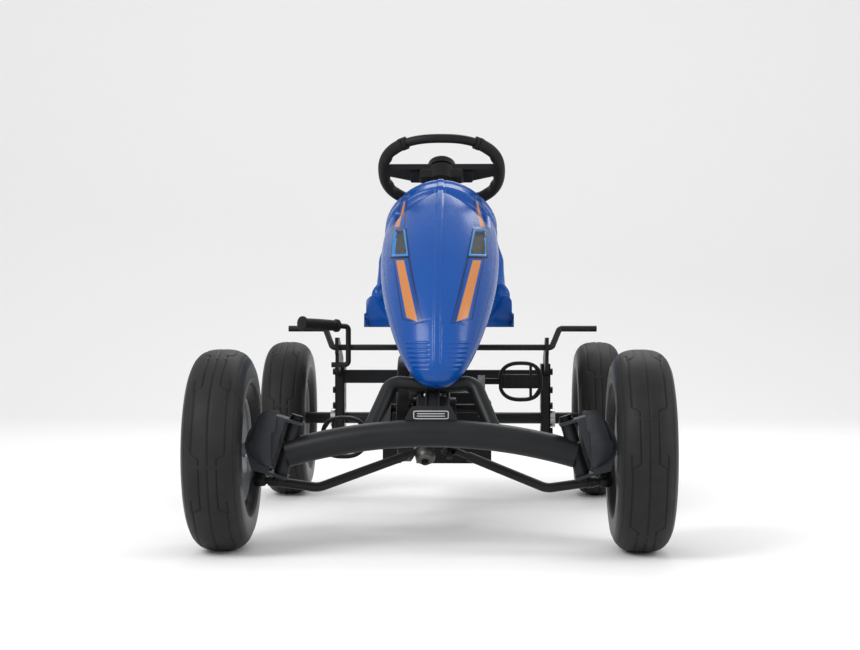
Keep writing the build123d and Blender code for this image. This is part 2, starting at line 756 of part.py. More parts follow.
pan_line = [(560, 418), (590, 401), (640, 394), (720, 396), (760, 412), (790, 470), (815, 560), (832, 660)]
seat_thick = 5.0
seat_outline = [(-156, 380), (-156, 440), (-142, 480), (-140, 530), (-124, 590), (-98, 636), (-60, 662)]
with BuildPart() as seat_shell:
    with BuildSketch(Plane.YZ.offset(-156)):
        with BuildLine():
            Spline(*[(front_y + y, z) for y, z in pan_line])
            lifted = []
            for y, z in reversed(pan_line):
                steep = z > 440
                lifted.append((front_y + y - seat_thick * steep, z + seat_thick * (not steep)))
            Spline(*lifted)
            Line((front_y + pan_line[-1][0], pan_line[-1][1]), lifted[0])
            Line(lifted[-1], (front_y + pan_line[0][0], pan_line[0][1]))
        make_face()
    extrude(amount=312)
    with BuildSketch(Plane.XZ.offset(-(front_y + 540))):
        with BuildLine():
            Polyline(*seat_outline, *[(-x, z) for x, z in reversed(seat_outline)], close=True)
        make_face()
    extrude(amount=-320, mode=Mode.INTERSECT)
    for side in (-1, 1):
        wing_low = 151 if side > 0 else -156
        with BuildSketch(Plane.YZ.offset(wing_low)):
            with BuildLine():
                Polyline((front_y + 560, 386), (front_y + 558, 424), (front_y + 600, 436), (front_y + 680, 440),
                         (front_y + 716, 470), (front_y + 745, 500), (front_y + 800, 500), (front_y + 790, 470),
                         (front_y + 762, 410), (front_y + 720, 392), (front_y + 640, 386), close=True)
            make_face()
        extrude(amount=5)
save(seat_shell.part, "seat_shell")

# ---------------------------------------------------------------- hand brake
bar_points = []
for x, y, z in ((350, 35, 42), (266, 35, 42), (247, 0, 0)):
    bar_points.append((x, brake_y + y, brake_z + z))
bar_points += [(-x, y, z) for x, y, z in reversed(bar_points)]
lever_y = brake_y - brake_bar_radius - 6.0
lever_points = [(-248, lever_y, 300), (-210, lever_y, 300), (-210, lever_y, 386), (-300, front_y + 722, 393)]
with BuildPart() as brake_bar:
    add(tube(bar_points, brake_bar_radius, 10))
    add(tube(lever_points, 6, 9))
    add(block((-214, lever_y, brake_z - 6), (-206, brake_y, brake_z + 6)))
save(brake_bar.part, "brake_bar")
grip_from = Vector(-233, front_y + 793, 388)
grip_to = Vector(-306, front_y + 716, 393.5)
with BuildPart() as brake_grip:
    add(rod(grip_from, grip_to, 12))
    add(rod(grip_from, (grip_from + (grip_to - grip_from).normalized() * 5), 16))
    add(brake_bar.part, mode=Mode.SUBTRACT)
save(brake_grip.part.solids().sort_by(SortBy.VOLUME)[-1], "brake_grip")

# ---------------------------------------------------------------- hood
hood_thick = 3.0
spine_nodes = ((62.0, 282.0), (200.0, 470.0), (430.0, 585.0))


def hood_station(t, half_width, half_height, inset):
    """Closed elliptical section square to the hood's curved middle line at 0..1 along it."""
    a, b, c = spine_nodes
    y = a[0] * (1 - t) ** 2 + 2 * b[0] * t * (1 - t) + c[0] * t * t
    z = a[1] * (1 - t) ** 2 + 2 * b[1] * t * (1 - t) + c[1] * t * t
    dy = (b[0] - a[0]) * (1 - t) + (c[0] - b[0]) * t
    dz = (b[1] - a[1]) * (1 - t) + (c[1] - b[1]) * t
    with BuildSketch(Plane(origin=(column_x, front_y + y, z), x_dir=(1, 0, 0), z_dir=(0, dy, dz))) as section:
        Ellipse(half_width - inset, half_height - inset)
    return section.sketch.faces()[0]


hood_stations = ((0.01, 20, 12), (0.08, 47, 32), (0.3, 84, 66), (0.5, 105, 84), (0.7, 114, 94), (1.0, 106, 98))
shells = []
for inset in (0.0, hood_thick):
    faces_list = [hood_station(t + inset * 0.004 * (t < 0.05), w, h, inset) for t, w, h in hood_stations]
    with BuildPart() as bullet:
        for face in faces_list:
            add(face)
        loft()
    shells.append(bullet.part)
with BuildPart() as hood:
    add(shells[0])
    add(shells[1], mode=Mode.SUBTRACT)
    low_edge = [(86, 200), (86, 306), (120, 330), (169, 374), (242, 430), (319, 482), (480, 566), (480, 200)]
    add(side_plate([(front_y + y, z) for y, z in low_edge], -160, 170), mode=Mode.SUBTRACT)
save(hood.part.solids().sort_by(SortBy.VOLUME)[-1], "hood")
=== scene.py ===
"""Looks of the pedal go-kart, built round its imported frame."""
import json
import math

import bpy
import numpy as np
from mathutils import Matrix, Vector


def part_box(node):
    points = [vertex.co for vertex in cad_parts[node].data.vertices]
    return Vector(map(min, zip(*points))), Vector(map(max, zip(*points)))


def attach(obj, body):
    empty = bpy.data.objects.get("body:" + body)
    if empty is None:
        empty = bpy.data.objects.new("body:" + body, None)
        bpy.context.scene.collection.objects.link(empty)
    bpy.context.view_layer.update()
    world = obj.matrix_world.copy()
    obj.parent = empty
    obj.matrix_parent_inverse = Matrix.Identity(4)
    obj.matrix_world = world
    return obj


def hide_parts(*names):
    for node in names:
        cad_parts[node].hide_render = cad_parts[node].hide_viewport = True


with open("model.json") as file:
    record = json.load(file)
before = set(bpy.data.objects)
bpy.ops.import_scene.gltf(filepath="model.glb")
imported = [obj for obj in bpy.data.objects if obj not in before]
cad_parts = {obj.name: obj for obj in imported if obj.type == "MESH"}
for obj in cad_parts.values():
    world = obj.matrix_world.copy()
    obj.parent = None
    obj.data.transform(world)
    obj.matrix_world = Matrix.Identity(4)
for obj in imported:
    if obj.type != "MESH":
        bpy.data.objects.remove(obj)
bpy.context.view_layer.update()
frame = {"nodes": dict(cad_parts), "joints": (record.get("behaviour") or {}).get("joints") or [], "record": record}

# ------------------------------------------------------------------ places read from the frame
MM = 0.001
joints = {j["name"]: j for j in frame["joints"]}
front_tyre_low, front_tyre_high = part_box("front_tyre_left")
TYRE_RADIUS = (front_tyre_high[2] - front_tyre_low[2]) / 2
TYRE_HALF_WIDTH = (front_tyre_high[0] - front_tyre_low[0]) / 2
FRONT_Y = (front_tyre_high[1] + front_tyre_low[1]) / 2
COLUMN_X = joints["steer"]["pos_m"][0]
WHEEL_AT = np.array(joints["steer"]["pos_m"])
COLUMN_UP = np.array(joints["steer"]["axis"])
COLUMN_BACK = np.cross(COLUMN_UP, (1.0, 0.0, 0.0))


# ------------------------------------------------------------------ mesh helpers
def smooth_step(low, high, value):
    """0 below low, 1 above high, and the cubic 3s^2 - 2s^3 between them."""
    s = np.clip((value - low) / (high - low), 0, 1)
    return s * s * (3 - 2 * s)


def make_mesh(name, points, faces, material, body):
    """One object at the origin from points (n, 3) and faces (m, 4) or (m, 3), riding on a body."""
    mesh = bpy.data.meshes.new(name)
    points = np.asarray(points, dtype=np.float32)
    faces = np.asarray(faces, dtype=np.int32)
    mesh.vertices.add(len(points))
    mesh.vertices.foreach_set("co", points.ravel())
    mesh.loops.add(faces.size)
    mesh.loops.foreach_set("vertex_index", faces.ravel())
    mesh.polygons.add(len(faces))
    mesh.polygons.foreach_set("loop_start", np.arange(len(faces), dtype=np.int32) * faces.shape[1])
    mesh.update(calc_edges=True)
    mesh.validate()
    mesh.polygons.foreach_set("use_smooth", np.full(len(mesh.polygons), True))
    obj = bpy.data.objects.new(name, mesh)
    bpy.context.scene.collection.objects.link(obj)
    obj.data.materials.append(material)
    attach(obj, body)
    return obj


def grid_faces(rows, columns, wrap_rows=False, wrap_columns=False, flip=False):
    """Quads joining neighbours of a rows by columns grid of points, joined end to end where it wraps."""
    last_row = rows if wrap_rows else rows - 1
    last_column = columns if wrap_columns else columns - 1
    r, c = np.meshgrid(np.arange(last_row), np.arange(last_column), indexing="ij")
    r2 = (r + 1) % rows
    c2 = (c + 1) % columns
    quads = np.stack([r * columns + c, r * columns + c2, r2 * columns + c2, r2 * columns + c], axis=-1)
    quads = quads.reshape(-1, 4)
    return quads[:, ::-1] if flip else quads


def lathe(name, centre, axis, profile, material, body, turns=64):
    """A closed profile of (along, radius) pairs turned about an axis through a centre: each point is
    centre + along * axis + radius * (side cos a + other sin a).  Every edge has a ring near each end,
    which keeps the shading of its corners crisp."""
    profile = np.array(profile, dtype=float)
    nxt = np.roll(profile, -1, axis=0)
    rings = []
    for share in (0.04, 0.96):
        rings.append(profile * (1 - share) + nxt * share)
    profile = np.stack(rings, axis=1).reshape(-1, 2)
    axis = np.array(axis, dtype=float) / np.linalg.norm(axis)
    helper = np.array([0, 0, 1.0]) if abs(axis[2]) < 0.9 else np.array([1.0, 0, 0])
    side = np.cross(axis, helper)
    side /= np.linalg.norm(side)
    other = np.cross(axis, side)
    angle = np.linspace(0, 2 * np.pi, turns, endpoint=False)[:, None, None]
    along, radius = profile[None, :, :1], profile[None, :, 1:]
    points = np.array(centre) + along * axis + radius * (np.cos(angle) * side + np.sin(angle) * other)
    area = np.sum(profile[:, 0] * np.roll(profile[:, 1], -1) - np.roll(profile[:, 0], -1) * profile[:, 1])
    faces = grid_faces(turns, len(profile), True, True, area > 0)
    return make_mesh(name, points.reshape(-1, 3), faces, material, body)


# ------------------------------------------------------------------ material helpers
class Nodes:
    """Short calls that add and link shader nodes in one material."""

    def __init__(self, name, color, rough, metal=0.0, coat=0.0, specular=0.5):
        self.material = bpy.data.materials.new(name)
        self.material.use_nodes = True
        self.tree = self.material.node_tree
        self.shader = self.tree.nodes["Principled BSDF"]
        self.shader.inputs["Base Color"].default_value = (*color, 1)
        self.shader.inputs["Roughness"].default_value = rough
        self.shader.inputs["Metallic"].default_value = metal
        self.shader.inputs["Coat Weight"].default_value = coat
        self.shader.inputs["Coat Roughness"].default_value = 0.06
        self.shader.inputs["Specular IOR Level"].default_value = specular
        self.place = self.add("ShaderNodeTexCoord").outputs["Object"]

    def add(self, kind, **settings):
        node = self.tree.nodes.new(kind)
        for key, value in settings.items():
            setattr(node, key, value)
        return node

    def link(self, source, target):
        self.tree.links.new(source, target)

    def feed(self, value, socket):
        if hasattr(value, "links"):
            self.link(value, socket)
        else:
            socket.default_value = value

    def math(self, operation, a, b=0.0):
        node = self.add("ShaderNodeMath", operation=operation)
        for value, socket in zip((a, b), node.inputs):
            self.feed(value, socket)
        return node.outputs[0]

    def axes(self):
        split = self.add("ShaderNodeSeparateXYZ")
        self.link(self.place, split.inputs[0])
        return split.outputs

    def noise(self, scale, detail):
        node = self.add("ShaderNodeTexNoise")
        self.link(self.place, node.inputs["Vector"])
        node.inputs["Scale"].default_value = scale
        node.inputs["Detail"].default_value = detail
        node.inputs["Roughness"].default_value = 0.55
        return node.outputs["Fac"]

    def spread(self, value, low, high, out_low, out_high):
        node = self.add("ShaderNodeMapRange")
        self.feed(value, node.inputs["Value"])
        keys = ("From Min", "From Max", "To Min", "To Max")
        for key, number in zip(keys, (low, high, out_low, out_high)):
            self.feed(number, node.inputs[key])
        return node.outputs["Result"]

    def mix(self, share, a, b):
        node = self.add("ShaderNodeMix", data_type="RGBA")
        self.feed(share, node.inputs[0])
        for value, socket in ((a, node.inputs[6]), (b, node.inputs[7])):
            self.feed((*value, 1) if isinstance(value, tuple) else value, socket)
        return node.outputs[2]

    def tone(self, share, color, darker, lighter):
        """Colour that wanders between a darker and a lighter share of itself."""
        dark = tuple(darker * c for c in color)
        light = tuple(lighter * c for c in color)
        return self.mix(share, dark, light)

    def color(self, value):
        self.link(value, self.shader.inputs["Base Color"])

    def rough(self, value):
        self.link(value, self.shader.inputs["Roughness"])

    def bump(self, height, strength, distance):
        node = self.add("ShaderNodeBump")
        node.inputs["Strength"].default_value = strength
        node.inputs["Distance"].default_value = distance
        self.link(height, node.inputs["Height"])
        self.link(node.outputs["Normal"], self.shader.inputs["Normal"])


def powder_coat(name, color, rough=0.42):
    """Satin powder coat: fine orange-peel bump, slightly cloudy gloss and colour."""
    n = Nodes(name, color, rough, specular=0.24)
    cloud = n.noise(14, 4)
    n.color(n.tone(n.spread(cloud, 0.3, 0.7, 0, 1), color, 0.88, 1.14))
    n.rough(n.spread(cloud, 0.3, 0.7, rough - 0.05, rough + 0.07))
    n.bump(n.noise(650, 2), 0.12, 0.0004)
    return n.material


def moulded(name, color, rough, grain=900, coat=0.0, strength=0.15):
    """Moulded plastic: fine grain and slightly uneven gloss."""
    n = Nodes(name, color, rough, coat=coat, specular=0.22)
    cloud = n.noise(9, 3)
    n.color(n.tone(n.spread(cloud, 0.3, 0.7, 0, 1), color, 0.9, 1.1))
    n.rough(n.spread(cloud, 0.3, 0.7, rough - 0.04, rough + 0.06))
    n.bump(n.noise(grain, 2), strength, 0.0003)
    return n.material


def tyre_rubber():
    """Dark rubber: uneven tone, painted shade that makes the grooves near-black, side walls glossier than the
    tread.
    """
    n = Nodes("tyre_rubber", (0.013, 0.013, 0.0125), 0.5, specular=0.2)
    tread = n.add("ShaderNodeAttribute", attribute_name="tread")
    cloud = n.noise(22, 5)
    base = n.mix(n.spread(cloud, 0.3, 0.75, 0, 1), (0.0105, 0.0108, 0.0104), (0.018, 0.0184, 0.0175))
    groove_and_painted_shade = n.add("ShaderNodeAttribute", attribute_name="groove_and_painted_shade")
    # Painted shade: the groove mask darkens the rubber to near-black in the grooves, where shade falls.
    n.color(n.mix(groove_and_painted_shade.outputs["Fac"], base, (0.001, 0.001, 0.001)))
    n.rough(n.spread(tread.outputs["Fac"], 0, 1, 0.36, 0.56))
    n.bump(n.noise(420, 4), 0.25, 0.0005)
    return n.material


def metal(name, color, rough):
    """Plated metal: fine brushed unevenness in its gloss."""
    n = Nodes(name, color, rough, metal=1.0)
    n.rough(n.spread(n.noise(60, 5), 0.3, 0.7, rough - 0.07, rough + 0.1))
    n.bump(n.noise(900, 2), 0.06, 0.0002)
    return n.material


HOOD_BLUE = (0.0006, 0.062, 0.30)
STRIPE_ORANGE = (0.52, 0.195, 0.055)
LINE_BLACK = (0.002, 0.004, 0.012)
# Lighter blue painted on the frame round each vent as a painted highlight.
PAINTED_HIGHLIGHT_BLUE = (0.035, 0.21, 0.56)
CRISP = 0.0005


def hood_paint():
    """Glossy blue plastic with two orange stripes each side between dark lines.  Every mark is a slanted
    four-sided patch given by the distance from the middle line and the height; a line is the
    difference between a patch and a slightly smaller one."""
    n = Nodes("hood_paint", HOOD_BLUE, 0.27, coat=0.12, specular=0.3)
    x, y, z = n.axes()
    away = n.math("ABSOLUTE", n.math("SUBTRACT", x, COLUMN_X))

    def patch(z_low, z_high, inner, outer, soft, skew=0.0):
        """1 inside a patch whose inner and outer edges slope from their low to their high value and
        whose lower edge drops towards the middle line by the skew."""
        share = n.spread(z, z_low, z_high, 0, 1)
        past_inner = n.math("SUBTRACT", away, n.spread(share, 0, 1, inner[0], inner[1]))
        before_outer = n.math("SUBTRACT", n.spread(share, 0, 1, outer[0], outer[1]), away)
        a = n.spread(past_inner, -soft, soft, 0, 1)
        b = n.spread(before_outer, -soft, soft, 0, 1)
        drop = n.math("SUBTRACT", z, n.math("MULTIPLY", n.math("SUBTRACT", away, inner[0]), skew))
        c = n.spread(drop, z_low - soft, z_low + soft, 0, 1)
        d = n.spread(z, z_high + soft, z_high - soft, 0, 1)
        return n.math("MULTIPLY", n.math("MULTIPLY", a, b), n.math("MULTIPLY", c, d))

    def line(z_low, z_high, inner, outer, width, skew=0.0):
        """The border of a patch, as wide as given."""
        whole = patch(z_low, z_high, inner, outer, CRISP, skew)
        inside_in = tuple(v + width for v in inner)
        inside_out = tuple(v - width for v in outer)
        inside = patch(z_low + width, z_high - width, inside_in, inside_out, CRISP, skew)
        return n.math("SUBTRACT", whole, inside)

    lower = patch(0.398, 0.512, (0.035, 0.064), (0.054, 0.0795), CRISP, 0.36)
    upper = patch(0.580, 0.634, (0.0775, 0.0700), (0.0865, 0.0725), CRISP)
    dark = line(0.394, 0.517, (0.0245, 0.0545), (0.0620, 0.0860), 0.0016, 0.2)
    upper_line = line(0.576, 0.650, (0.0665, 0.0655), (0.0925, 0.0765), 0.0017)
    dark = n.math("MAXIMUM", dark, upper_line)
    glow = patch(0.400, 0.560, (0.0300, 0.0600), (0.0345, 0.0640), 0.0028)
    around = patch(0.5165, 0.5755, (0.0535, 0.0625), (0.0925, 0.0915), 0.0006)
    rim_light = patch(0.520, 0.5735, (0.0560, 0.0650), (0.0893, 0.0885), 0.0008)
    cloud = n.noise(5, 2)
    tone = n.tone(n.spread(cloud, 0.3, 0.7, 0, 1), HOOD_BLUE, 0.93, 1.06)
    tone = n.mix(n.math("MULTIPLY", glow, 0.55), tone, LINE_BLACK)
    tone = n.mix(n.math("MULTIPLY", dark, 0.9), tone, LINE_BLACK)
    tone = n.mix(around, tone, LINE_BLACK)
    # Painted highlight: the raised frame round the vent is coloured lighter blue where it would catch the light.
    tone = n.mix(rim_light, tone, PAINTED_HIGHLIGHT_BLUE)
    tone = n.mix(n.math("MAXIMUM", lower, upper), tone, STRIPE_ORANGE)
    n.color(tone)
    n.rough(n.spread(n.noise(30, 3), 0.3, 0.7, 0.24, 0.31))
    n.bump(n.noise(220, 2), 0.02, 0.0002)
    return n.material


def vent_mesh():
    """Dark mesh: small even cells with paler edges."""
    n = Nodes("vent_mesh", (0.02, 0.02, 0.02), 0.55)
    cells = n.add("ShaderNodeTexVoronoi", feature="DISTANCE_TO_EDGE")
    n.link(n.place, cells.inputs["Vector"])
    cells.inputs["Scale"].default_value = 420
    cells.inputs["Randomness"].default_value = 0.15
    edge = n.spread(cells.outputs["Distance"], 0.08, 0.16, 1, 0)
    n.color(n.mix(edge, (0.004, 0.004, 0.004), (0.085, 0.085, 0.08)))
    n.bump(edge, 0.6, 0.0006)
    return n.material


COAT = powder_coat("frame_coat", (0.0098, 0.0105, 0.0118), 0.4)
COAT_LIGHT = powder_coat("knuckle_coat", (0.026, 0.029, 0.035), 0.5)
BLACK = moulded("black_plastic", (0.006, 0.006, 0.0065), 0.42)
BLACK_SOFT = moulded("soft_grip", (0.007, 0.007, 0.0075), 0.6, grain=600, strength=0.3)
STEEL = metal("bright_steel", (0.42, 0.43, 0.45), 0.32)
DARK_STEEL = metal("dark_steel", (0.018, 0.018, 0.019), 0.42)
CAST = metal("cast_metal", (0.13, 0.128, 0.12), 0.5)
RIM = moulded("rim_silver", (0.27, 0.28, 0.295), 0.34, coat=0.25)
BLUE = moulded("blue_plastic", HOOD_BLUE, 0.27, grain=220, coat=0.12, strength=0.03)
PALE = moulded("badge_pale", (0.42, 0.42, 0.42), 0.45)
RUBBER = tyre_rubber()
HOOD_PAINT = hood_paint()
VENT = vent_mesh()
SLOT_FINISH = {
    "frame_coat": COAT, "knuckle_coat": COAT_LIGHT, "bright_steel": STEEL, "dark_steel": DARK_STEEL,
    "black_plastic": BLACK, "blue_plastic": BLUE, "soft_grip": BLACK_SOFT, "tyre_rubber": RUBBER,
    "rim_silver": RIM,
}


def finish_cad_nodes():
    """Give every carried-over CAD node the finish of its material slot."""
    for part in frame["record"]["subparts"]:
        node = frame["nodes"][part["node"]]
        node.data.materials.clear()
        node.data.materials.append(SLOT_FINISH[part["material_slot"]])


# ------------------------------------------------------------------ tyres and rims
def tread_groove(angle, x):
    """Depth share 0..1 of the tread grooves at an angle round the tyre and a distance across it.

    A straight groove runs round the middle.  A stepped groove each side swings between a wide and a
    narrow offset five times a turn: offset = narrow + (wide - narrow) * plateau(angle).  Where it
    steps in, a short spur runs on at the wide offset."""
    width = 0.00115
    turn = (angle / (2 * np.pi) * 5) % 1.0
    plateau = smooth_step(0.0, 0.05, turn) * (1 - smooth_step(0.555, 0.61, turn))
    total = np.exp(-((x / width) ** 2))
    step_steepness = 260
    for side in (-1, 1):
        offset = side * (0.0150 + 0.0130 * plateau)
        slope = np.maximum(np.abs(np.gradient(offset, axis=0)) * step_steepness, 1.0)
        total = np.maximum(total, np.exp(-(((x - offset) / (width * slope)) ** 2)))
        spur = smooth_step(0.55, 0.56, turn) * (1 - smooth_step(0.665, 0.675, turn))
        total = np.maximum(total, spur * np.exp(-(((x - side * 0.0295) / width) ** 2)))
    broken = 1 - smooth_step(0.93, 0.94, turn) * (1 - smooth_step(0.955, 0.965, turn))
    shoulder_line = np.exp(-(((np.abs(x) - 0.0405) / 0.0008) ** 2)) * 0.5
    return np.maximum(total * broken, shoulder_line)


BEAD_RADIUS = 0.092
TYRE_WALL = 0.007
GROOVE_DEPTH = 0.0021


def tyre(label, body, phase):
    """Tyre with a stepped tread.  The section is a superellipse about radius r0: x = w cos(u)^(2/n),
    r = r0 + h sin(u)^(2/n), cut at the bead and closed by a smaller ellipse inside it.  Grooves lower
    r on the crown; steps and blocks move x on the side wall."""
    low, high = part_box(label)
    centre = (np.array(low) + np.array(high)) / 2
    waist = TYRE_RADIUS * 0.73
    across = 132
    u = np.linspace(-0.885, np.pi + 0.885, across)
    power = np.where(np.sin(u) > 0, 2 / 2.75, 2 / 2.2)
    height = np.where(np.sin(u) > 0, TYRE_RADIUS - waist, waist - BEAD_RADIUS)
    x = TYRE_HALF_WIDTH * np.sign(np.cos(u)) * np.abs(np.cos(u)) ** power
    r = waist + height * np.sign(np.sin(u)) * np.abs(np.sin(u)) ** power
    arc = np.concatenate([[0], np.cumsum(np.hypot(np.diff(x), np.diff(r)))])
    even = np.linspace(0, arc[-1], across)
    x, r = np.interp(even, arc, x), np.interp(even, arc, r)
    inner_u = np.linspace(np.pi + 0.7, -0.7, 18)
    inner_x = (TYRE_HALF_WIDTH - TYRE_WALL) * np.cos(inner_u)
    inner_r = waist + (TYRE_RADIUS - waist - TYRE_WALL) * np.sin(inner_u)
    x = np.concatenate([x, [-x[0] * 0.98], inner_x, [x[0] * 0.98]])
    r = np.concatenate([r, [0.0902], np.maximum(inner_r, 0.095), [0.0902]])
    turns = 600
    angle = np.linspace(0, 2 * np.pi, turns, endpoint=False)[:, None] + 0 * x[None, :]
    across_x = x[None, :] + 0 * angle
    outside = np.arange(len(x)) < across
    crown = smooth_step(TYRE_RADIUS - 0.030, TYRE_RADIUS - 0.012, r[None, :]) * outside
    groove_and_painted_shade = tread_groove(angle + phase, across_x) * crown
    steps = np.exp(-(((r[None, :] - 0.112) / 0.0012) ** 2))
    steps = steps + np.exp(-(((r[None, :] - 0.148) / 0.0010) ** 2))
    radius = r[None, :] - GROOVE_DEPTH * groove_and_painted_shade
    blocks = smooth_step(0.102, 0.104, r[None, :]) * (1 - smooth_step(0.1165, 0.1185, r[None, :]))
    blocks = blocks * smooth_step(-0.5, 0.5, np.sin(angle * 100)) * outside
    across_x = across_x * (1 + 0.018 * steps * outside - 0.016 * blocks)
    y = centre[1] + radius * np.sin(angle)
    z = centre[2] + radius * np.cos(angle)
    points = np.stack([centre[0] + across_x, y, z], axis=-1)
    faces = grid_faces(turns, len(x), True, True)
    obj = make_mesh(label + "_tread", points.reshape(-1, 3), faces, RUBBER, body)
    # The groove mask also goes to the rubber, which paints it near-black as painted shade in the grooves.
    for key, values in (("groove_and_painted_shade", groove_and_painted_shade), ("tread", crown + 0 * angle)):
        layer = obj.data.attributes.new(key, "FLOAT", "POINT")
        layer.data.foreach_set("value", np.ascontiguousarray(values, dtype=np.float32).ravel())
    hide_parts(label)


def rim(label, body, side):
    """Dished wheel with six flat spokes between shallow windows, and a hub cap.  Both faces of the disc
    are profiles turned about the axle; each is pushed in by a window mask of angle and radius."""
    low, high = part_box(label)
    centre = (np.array(low) + np.array(high)) / 2
    hub = 0.0176 if "front" in label else 0.0086
    out_r = np.concatenate([np.linspace(0.026, 0.076, 40),
                            [0.080, 0.084, 0.0875, 0.0895, 0.0895, 0.087, 0.087]])
    out_x = np.concatenate([0.004 - 0.010 * smooth_step(0.030, 0.070, out_r[:40]),
                            [0.004, 0.020, 0.030, 0.0335, 0.0365, 0.0365, 0.030]])
    in_r = np.concatenate([[0.087, 0.0895, 0.0895, 0.0875, 0.084, 0.080],
                           np.linspace(0.076, 0.026, 40)])
    in_x = np.concatenate([[-0.0365, -0.0365, -0.0335, -0.030, -0.024, -0.020],
                           -0.006 - 0.010 * smooth_step(0.030, 0.070, in_r[6:])])
    x = np.concatenate([[-0.030, -0.031, 0.031, 0.030, 0.030], out_x, [0.030, -0.030], in_x, [-0.030]])
    r = np.concatenate([[hub + 0.001, hub, hub, hub + 0.001, 0.026], out_r, [0.087, 0.087], in_r, [0.026]])
    turns = 240
    angle = np.linspace(0, 2 * np.pi, turns, endpoint=False)[:, None]
    radial = smooth_step(0.034, 0.039, r[None, :]) * (1 - smooth_step(0.069, 0.074, r[None, :]))
    spoke = np.abs(((angle / (2 * np.pi) * 6) % 1.0) - 0.5)
    window = smooth_step(0.16, 0.21, spoke) * radial
    is_disc = (np.abs(x) < 0.0199)[None, :] & (r[None, :] < 0.077)
    facing = np.where(x[None, :] > -0.0055, 1.0, -1.0)
    push = -facing * 0.0044 * window * is_disc
    xs = centre[0] + side * (x[None, :] + push)
    y = centre[1] + r[None, :] * np.sin(angle)
    z = centre[2] + r[None, :] * np.cos(angle)
    points = np.stack([xs, y, z], axis=-1)
    faces = grid_faces(turns, len(x), True, True, side < 0)
    obj = make_mesh(label + "_disc", points.reshape(-1, 3), faces, RIM, body)
    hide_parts(label)
    cap = [(0.030, 0.0), (0.030, 0.0235), (0.036, 0.0225), (0.043, 0.017), (0.046, 0.0)]
    if "front" in label:
        cap = [(0.0425, 0.0), (0.0305, 0.0235), (0.039, 0.0225), (0.046, 0.017), (0.049, 0.0)]
    lathe(label + "_cap", centre, (side, 0, 0), cap, BLACK, body, 48)


def wheels():
    """All four wheels; a tread's phase sets which step of it faces forward."""
    for name, side in (("left", 1), ("right", -1)):
        tyre("front_tyre_" + name, "front_wheel_" + name, 0.73 + 0.39 * side)
        rim("front_rim_" + name, "front_wheel_" + name, side)
        rear_body = "rear_wheel_left" if name == "left" else "rear_drive"
        tyre("rear_tyre_" + name, rear_body, 1.1 - 0.2 * side)
        rim("rear_rim_" + name, rear_body, side)


# ------------------------------------------------------------------ hood
HOOD_LINE = np.array([(62.0, 282.0), (200.0, 470.0), (430.0, 585.0)]) * MM
HOOD_WIDTH = ((0.05, 42), (0.1, 56), (0.2, 73), (0.3, 87), (0.4, 98), (0.5, 105), (0.7, 113.5),
              (0.85, 112), (1, 105))
HOOD_HEIGHT = ((0.05, 27), (0.1, 38), (0.2, 54), (0.3, 66), (0.4, 76), (0.5, 84), (0.7, 93),
               (0.85, 97), (1, 97))
HOOD_WALL = 0.0028


def grown(stations, t):
    """Half size in metres at t: a polynomial in sqrt(t), zero at the tip, fitted through stations."""
    q = np.sqrt([s[0] for s in stations])
    size = np.array([s[1] for s in stations]) * MM
    powers = np.stack([q ** k for k in range(1, 7)], axis=1)
    fit = np.linalg.lstsq(powers, size, rcond=None)[0]
    root = np.sqrt(t)
    return sum(fit[k] * root ** (k + 1) for k in range(6))


def trapezoid(away, z, z_low, z_high, inner, outer, soft):
    """Soft 0..1 mask of a four-sided patch whose inner and outer edges slope with height."""
    share = np.clip((z - z_low) / (z_high - z_low), 0, 1)
    a = smooth_step(-soft, soft, away - (inner[0] + (inner[1] - inner[0]) * share))
    b = smooth_step(-soft, soft, (outer[0] + (outer[1] - outer[0]) * share) - away)
    c = smooth_step(z_low - soft, z_low + soft, z) * (1 - smooth_step(z_high - soft, z_high + soft, z))
    return a * b * c


VENT_PATCH = dict(z_low=0.524, z_high=0.570, inner=(0.060, 0.069), outer=(0.0865, 0.0855))


def hood_surface(rows, columns):
    """Points of the hood.  Its middle line is a quadratic Bezier curve; round each of its points the
    skin is c + a sin(v) x + b cos(v) up, from v = 0 on top to where it meets the sloping lower edge.
    Towards the rear its top is pinched: x is less by a share of cos(v)^2."""
    s = np.linspace(0, 1, rows)
    tip = 0.0004
    t = (tip + (s ** 1.6) * (1 - tip))[:, None]
    a0, b0, c0 = HOOD_LINE
    middle = a0 * (1 - t) ** 2 + 2 * b0 * t * (1 - t) + c0 * t * t
    slope = (b0 - a0) * (1 - t) + (c0 - b0) * t
    slope /= np.linalg.norm(slope, axis=1)[:, None]
    half_width, half_height = grown(HOOD_WIDTH, t), grown(HOOD_HEIGHT, t)
    pinch = 0.15 * smooth_step(0.45, 0.95, t)

    def at(v):
        lift = half_height * np.cos(v)
        y = FRONT_Y + middle[:, :1] - slope[:, 1:] * lift
        z = middle[:, 1:] + slope[:, :1] * lift
        upper = np.clip(np.cos(v), 0, 1) ** 2
        return COLUMN_X + half_width * np.sin(v) * (1 - pinch * upper), y, z

    trial = np.linspace(0, np.pi, 400)[None, :]
    _, y, z = at(trial)
    below = (y - FRONT_Y) > 0.084 + 1.22 * np.maximum(0, z - 0.304)
    first = np.where(below.any(axis=1), below.argmax(axis=1), 399)
    reach = trial[0, first]
    kernel = np.ones(7) / 7
    reach = np.convolve(np.pad(reach, 3, mode="edge"), kernel, mode="valid")[:, None]
    v = np.linspace(-1, 1, columns)[None, :] * reach
    x, y, z = at(v)
    return t, v, x, y, z, slope


